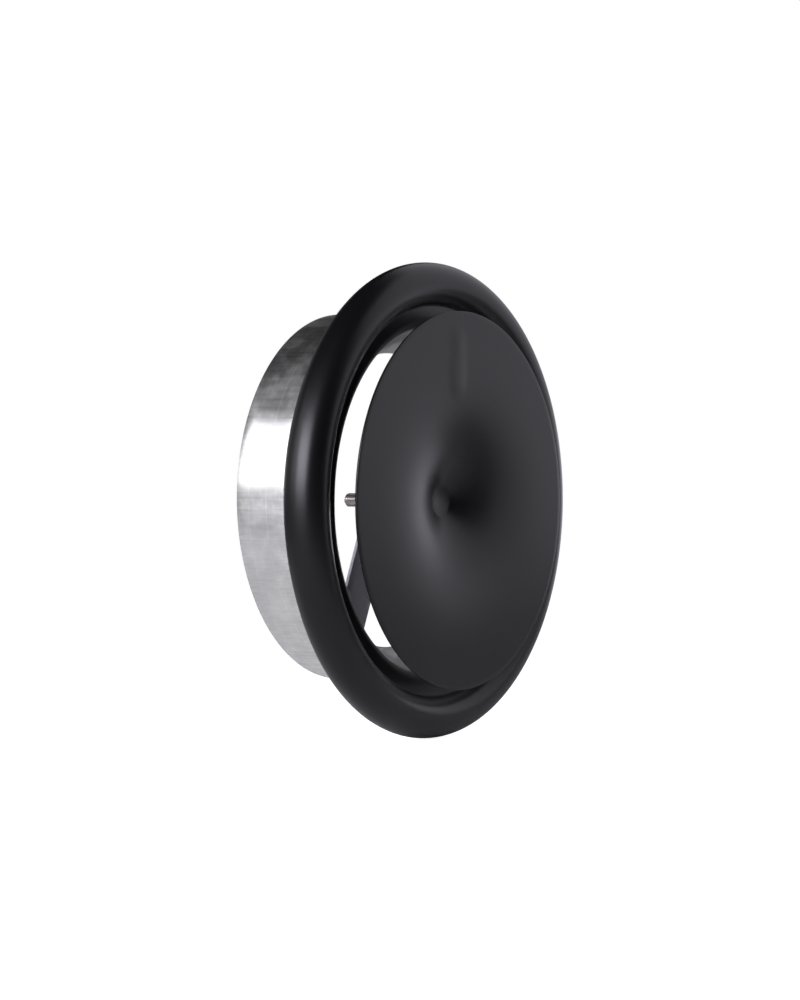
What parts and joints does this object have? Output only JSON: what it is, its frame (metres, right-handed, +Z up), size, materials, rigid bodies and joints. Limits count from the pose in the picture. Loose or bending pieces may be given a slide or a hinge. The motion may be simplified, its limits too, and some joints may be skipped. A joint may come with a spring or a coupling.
{
  "type": "disc valve",
  "caption": "Round metal disc valve for extract air: rolled rim, dished disc on a threaded spindle, bridge strap and duct mounting frame with a bayonet.",
  "frame": {"origin": "centre of the flange's wall face, on the valve's axis", "axes": "+Y along the valve's axis into the duct, -Y into the room, +Z up"},
  "size_m": [0.204, 0.0614, 0.204],
  "materials": {
    "galvanised_frame": "bright",
    "galvanised_sheet": "satin",
    "zinc_plate": "satin",
    "black_coat": "satin",
    "foam": "matte"
  },
  "bodies": {
    "frame": {"mounting_frame": "galvanised_frame"},
    "valve": {"rim": "black_coat", "rim_seal": "foam", "spigot": "galvanised_sheet", "bayonet_foot_1": "zinc_plate", "bayonet_foot_2": "zinc_plate", "bayonet_foot_3": "zinc_plate", "foot_rivet_1": "zinc_plate", "foot_rivet_2": "zinc_plate", "foot_rivet_3": "zinc_plate", "bridge": "galvanised_sheet", "bridge_rivet_1": "zinc_plate", "bridge_rivet_2": "zinc_plate", "bridge_rivet_3": "zinc_plate", "bridge_rivet_4": "zinc_plate", "bridge_nut": "zinc_plate"},
    "washer": {"lock_washer": "zinc_plate"},
    "nut": {"lock_nut": "zinc_plate"},
    "boss": {"disc_boss": "zinc_plate"},
    "disc": {"disc": "black_coat", "spindle": "zinc_plate"}
  },
  "joints": [
    {"name": "bayonet_twist", "type": "hinge", "parent": "frame", "child": "valve", "pos_m": [0, 0, 0], "axis": [0, -1, 0], "range_deg": [0, 30]},
    {"name": "disc_travel", "type": "slide", "parent": "valve", "child": "boss", "axis": [0, -1, 0], "range_m": [-0.0119, 0.01]},
    {"name": "disc_turn", "type": "hinge", "parent": "boss", "child": "disc", "pos_m": [0, 0, 0], "axis": [0, -1, 0], "range_deg": [-4280, 3598]},
    {"name": "lock_nut_travel", "type": "slide", "parent": "valve", "child": "washer", "axis": [0, 1, 0], "range_m": [0, 0.002]},
    {"name": "lock_nut_turn", "type": "hinge", "parent": "washer", "child": "nut", "pos_m": [0, 0.02, 0], "axis": [0, 1, 0], "range_deg": [0, 721]}
  ],
  "couplings": [
    {"joint": "disc_travel", "follows": "disc_turn", "m_per_rad": 0.00015915},
    {"joint": "lock_nut_turn", "follows": "lock_nut_travel", "rad_per_m": 6283.2}
  ]
}
